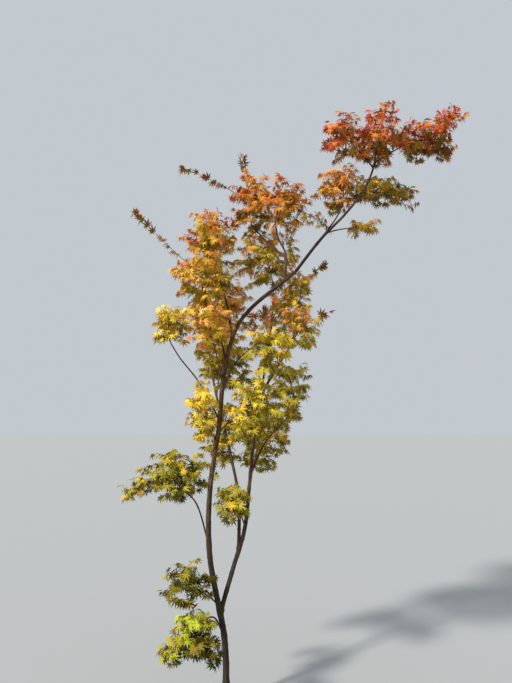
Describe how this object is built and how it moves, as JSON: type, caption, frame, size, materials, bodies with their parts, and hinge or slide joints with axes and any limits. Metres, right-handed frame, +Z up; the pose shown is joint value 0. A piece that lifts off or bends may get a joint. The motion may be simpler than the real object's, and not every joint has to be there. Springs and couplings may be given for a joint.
{
  "type": "japanese maple tree",
  "caption": "Young Japanese maple in autumn colour: a slim trunk forked near the ground, a leader that leans to one side, and airy masses of star-shaped leaves on fine twigs.",
  "frame": {"origin": "middle of the flat cut under the trunk, at ground level", "axes": "+Z up along the height of the tree; +X towards the side that the leader leans to; -Y towards the side that the picture shows"},
  "size_m": [1.9195, 0.9678, 3.0711],
  "materials": {
    "bark": "rough matt bark",
    "leaf_red": "matt to soft satin leaves",
    "leaf_orange": "matt to soft satin leaves",
    "leaf_gold": "matt to soft satin leaves",
    "leaf_yellow": "matt to soft satin leaves",
    "leaf_olive": "matt to soft satin leaves",
    "leaf_green": "matt to soft satin leaves"
  },
  "bodies": {
    "root": {"trunk": "bark", "leader": "bark", "crown_left_bough": "bark", "crown_right_bough": "bark", "shelf_bough": "bark", "centre_bough": "bark", "centre_left_bough": "bark", "left_top_bough": "bark", "left_mid_bough": "bark", "left_reach_bough": "bark", "rear_stem": "bark", "rear_left_stem": "bark", "rear_right_bough": "bark", "rear_up_bough": "bark", "rear_back_bough": "bark", "right_low_bough": "bark", "front_right_bough": "bark", "left_base_bough": "bark", "base_bough": "bark", "crown_left": "leaf_red", "crown_mid": "leaf_red", "crown_right": "leaf_red", "shelf_left": "leaf_orange", "shelf_right": "leaf_olive", "shelf_small": "leaf_olive", "centre_right": "leaf_orange", "centre_left": "leaf_orange", "centre_inner": "leaf_gold", "left_top": "leaf_orange", "left_mid": "leaf_gold", "left_front": "leaf_orange", "left_tip": "leaf_yellow", "left_rear": "leaf_gold", "left_inner": "leaf_gold", "left_low": "leaf_yellow", "left_low_rear": "leaf_yellow", "rear_right": "leaf_gold", "rear_back": "leaf_gold", "right_mid": "leaf_gold", "right_low": "leaf_yellow", "front_right": "leaf_gold", "centre_front": "leaf_yellow", "rear_low": "leaf_yellow", "low_shelf": "leaf_green", "left_base": "leaf_green", "base_upper": "leaf_green", "base_spray": "leaf_yellow"}
  },
  "joints": []
}
